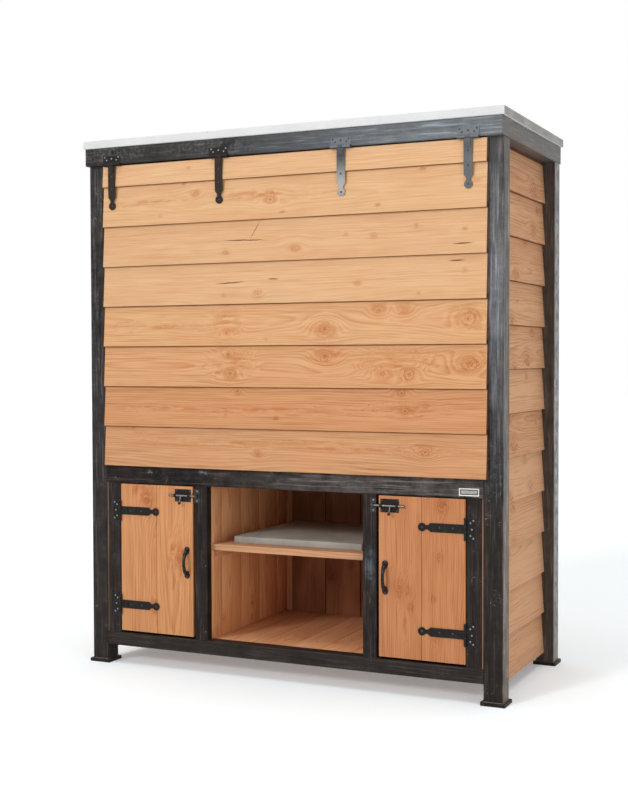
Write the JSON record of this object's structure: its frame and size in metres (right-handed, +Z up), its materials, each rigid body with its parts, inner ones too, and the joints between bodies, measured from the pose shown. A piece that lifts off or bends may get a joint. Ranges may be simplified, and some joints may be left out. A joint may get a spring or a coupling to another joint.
{
  "type": "outdoor kitchen",
  "caption": "Steel-framed outdoor kitchen with lapped timber cladding, a top-hung flap over the worktop space, boarded doors and an open log bay.",
  "frame": {"origin": "middle of the whole footprint, on the ground", "axes": "+X to the right seen from the front, +Y to the back, +Z up; the flap and the doors face -Y"},
  "size_m": [1.924, 0.886, 2.308],
  "materials": {
    "frame_steel": "dark mill scale, oiled, with scratches and bare weld marks",
    "roof_board": "pale grey mineral board, matt",
    "flap_wood": "oiled larch, horizontal grain with knots",
    "clad_wood": "oiled larch, horizontal grain",
    "door_wood": "oiled larch, upright grain with knots",
    "inner_wood": "planed larch in shade",
    "stone": "honed grey stone",
    "hinge_iron": "black powder coat, worn at the edges",
    "bare_steel": "bright zinc plate",
    "handle_iron": "black cast iron"
  },
  "bodies": {
    "frame": {"foot_plates": "frame_steel", "front_posts": "frame_steel", "rear_posts": "frame_steel", "front_top_beam": "frame_steel", "rear_top_beam": "frame_steel", "side_top_beams": "frame_steel", "beam_end_caps": "frame_steel", "front_mid_rail": "frame_steel", "rear_mid_rail": "frame_steel", "side_mid_rails": "frame_steel", "front_bottom_rail": "frame_steel", "rear_bottom_rail": "frame_steel", "side_bottom_rails": "frame_steel", "door_jambs": "frame_steel", "jamb_fillers": "inner_wood", "roof_slab": "roof_board", "left_cladding": "clad_wood", "right_cladding": "clad_wood", "rear_cladding": "clad_wood", "cladding_battens": "inner_wood", "worktop": "inner_wood", "floor_bearers": "inner_wood", "floor_boards": "inner_wood", "bay_left_wall": "inner_wood", "bay_right_wall": "inner_wood", "bay_back_wall": "inner_wood", "bay_shelf": "inner_wood", "shelf_cleats": "inner_wood", "stone_slab": "stone", "blank_plate": "bare_steel", "flap_hinge_plates": "hinge_iron", "door_hinge_plates": "hinge_iron", "hinge_pins": "bare_steel", "frame_screws": "bare_steel", "bolt_keepers": "hinge_iron"},
    "flap": {"flap_board_1": "flap_wood", "flap_board_2": "flap_wood", "flap_board_3": "flap_wood", "flap_board_4": "flap_wood", "flap_board_5": "flap_wood", "flap_board_6": "flap_wood", "flap_board_7": "flap_wood", "flap_board_8": "flap_wood", "flap_battens": "inner_wood", "flap_straps": "hinge_iron", "flap_screws": "bare_steel"},
    "left_door": {"left_door_boards": "door_wood", "left_door_ledges": "inner_wood", "left_door_straps": "hinge_iron", "left_door_handle": "handle_iron", "left_bolt_guide": "hinge_iron", "left_door_screws": "bare_steel"},
    "right_door": {"right_door_boards": "door_wood", "right_door_ledges": "inner_wood", "right_door_straps": "hinge_iron", "right_door_handle": "handle_iron", "right_bolt_guide": "hinge_iron", "right_door_screws": "bare_steel"},
    "left_bolt_rod": {"left_bolt": "bare_steel"},
    "right_bolt_rod": {"right_bolt": "bare_steel"}
  },
  "joints": [
    {"name": "flap_hinge", "type": "hinge", "parent": "frame", "child": "flap", "pos_m": [0, -0.437, 2.2], "axis": [-1, 0, 0], "range_deg": [0, 95]},
    {"name": "left_door_hinge", "type": "hinge", "parent": "frame", "child": "left_door", "pos_m": [-0.79875, -0.411, 0.45], "axis": [0, 0, -1], "range_deg": [0, 170]},
    {"name": "right_door_hinge", "type": "hinge", "parent": "frame", "child": "right_door", "pos_m": [0.79875, -0.411, 0.45], "axis": [0, 0, 1], "range_deg": [0, 170]},
    {"name": "left_bolt_slide", "type": "slide", "parent": "left_door", "child": "left_bolt_rod", "axis": [1, 0, 0], "range_m": [-0.014, 0.026]},
    {"name": "right_bolt_slide", "type": "slide", "parent": "right_door", "child": "right_bolt_rod", "axis": [-1, 0, 0], "range_m": [-0.014, 0.026]}
  ]
}
